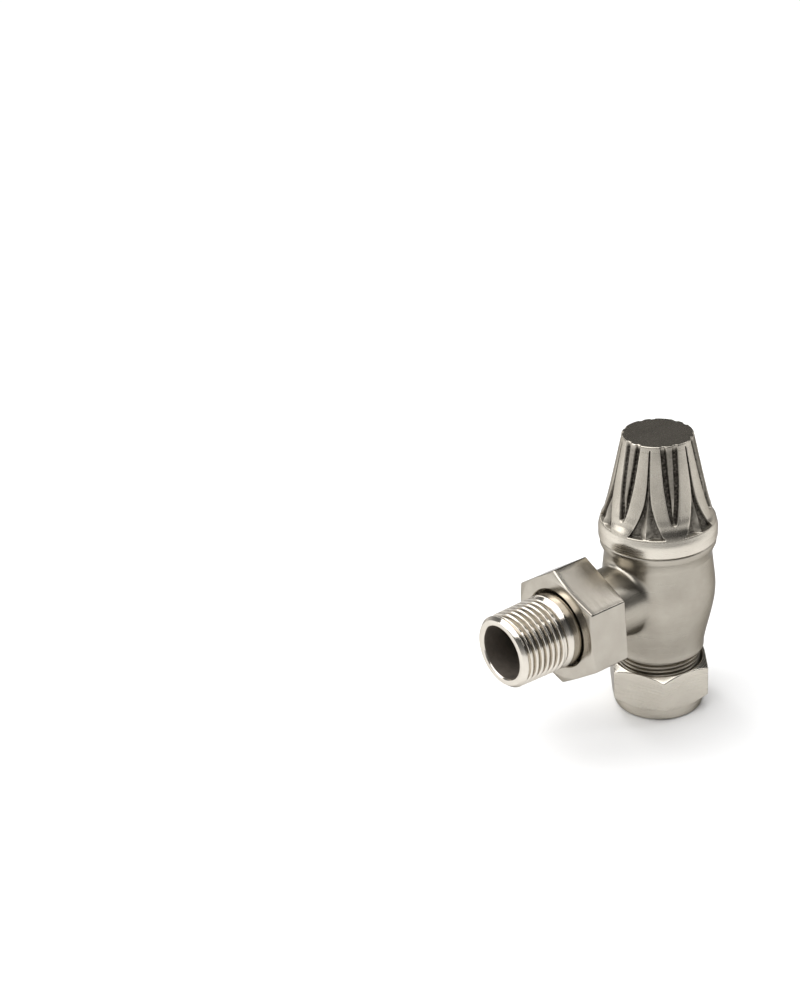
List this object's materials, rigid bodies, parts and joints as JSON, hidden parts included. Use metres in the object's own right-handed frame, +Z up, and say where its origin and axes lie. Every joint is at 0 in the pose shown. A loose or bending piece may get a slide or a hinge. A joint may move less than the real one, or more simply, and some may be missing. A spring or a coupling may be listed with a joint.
{
  "type": "angle lockshield radiator valve",
  "caption": "Angle lockshield radiator valve with a carved lift-off cap over its headwork, a union nut and threaded radiator tail, and a compression joint for the pipe.",
  "frame": {"origin": "on the pipe's axis, at the bottom face of the compression nut, where the pipe goes in", "axes": "+Z up along the pipe and the spindle, +X out along the radiator tail"},
  "size_m": [0.0744, 0.0334, 0.0851],
  "materials": {
    "satin_nickel": "brushed satin nickel plate on cast brass",
    "cast_nickel": "nickel plate on a cast and carved cap",
    "bright_nickel": "polished nickel plate on turned brass",
    "bare_brass": "turned brass, unplated",
    "rubber_black": "moulded rubber",
    "ptfe_white": "white PTFE",
    "fibre_red": "red fibre washer",
    "stainless": "turned stainless steel"
  },
  "bodies": {
    "root": {"valve_body": "satin_nickel", "headwork_bonnet": "bare_brass", "bonnet_o_ring": "rubber_black", "gland_packing": "ptfe_white", "gland_follower": "bare_brass", "gland_nut": "bare_brass"},
    "spindle": {"valve_spindle": "bare_brass", "spindle_o_ring_lower": "rubber_black", "spindle_o_ring_upper": "rubber_black", "thrust_washer": "ptfe_white"},
    "plug": {"valve_plug": "bare_brass", "seat_washer": "rubber_black", "seat_washer_plate": "stainless", "seat_screw": "stainless"},
    "cap_ring": {"cap_retaining_ring": "rubber_black"},
    "cap": {"lockshield_cap": "cast_nickel"},
    "tail": {"radiator_tail": "bright_nickel", "union_washer": "fibre_red"},
    "union": {"union_nut": "satin_nickel"},
    "olive": {"olive": "bare_brass"},
    "pipe_nut": {"compression_nut": "satin_nickel"}
  },
  "joints": [
    {"name": "spindle_turn", "type": "hinge", "parent": "root", "child": "spindle", "pos_m": [0, 0, 0], "axis": [0, 0, 1], "range_deg": [0, 1080]},
    {"name": "plug_lift", "type": "slide", "parent": "root", "child": "plug", "axis": [0, 0, 1], "range_m": [0, 0.0046]},
    {"name": "cap_lift", "type": "slide", "parent": "root", "child": "cap_ring", "axis": [0, 0, 1], "range_m": [0, 0.03]},
    {"name": "cap_turn", "type": "hinge", "parent": "cap_ring", "child": "cap", "pos_m": [0, 0, 0], "axis": [0, 0, 1], "continuous": true},
    {"name": "tail_slide", "type": "slide", "parent": "root", "child": "tail", "axis": [1, 0, 0], "range_m": [0, 0.0055]},
    {"name": "union_turn", "type": "hinge", "parent": "tail", "child": "union", "pos_m": [0, 0, 0.0384], "axis": [1, 0, 0], "range_deg": [0, 1080]},
    {"name": "olive_slide", "type": "slide", "parent": "root", "child": "olive", "axis": [0, 0, -1], "range_m": [0, 0.0081]},
    {"name": "pipe_nut_turn", "type": "hinge", "parent": "olive", "child": "pipe_nut", "pos_m": [0, 0, 0], "axis": [0, 0, -1], "range_deg": [0, 2160]}
  ],
  "couplings": [
    {"joint": "plug_lift", "follows": "spindle_turn", "m_per_rad": 0.00023873},
    {"joint": "tail_slide", "follows": "union_turn", "m_per_rad": 0.00028871},
    {"joint": "olive_slide", "follows": "pipe_nut_turn", "m_per_rad": 0.00021279}
  ]
}
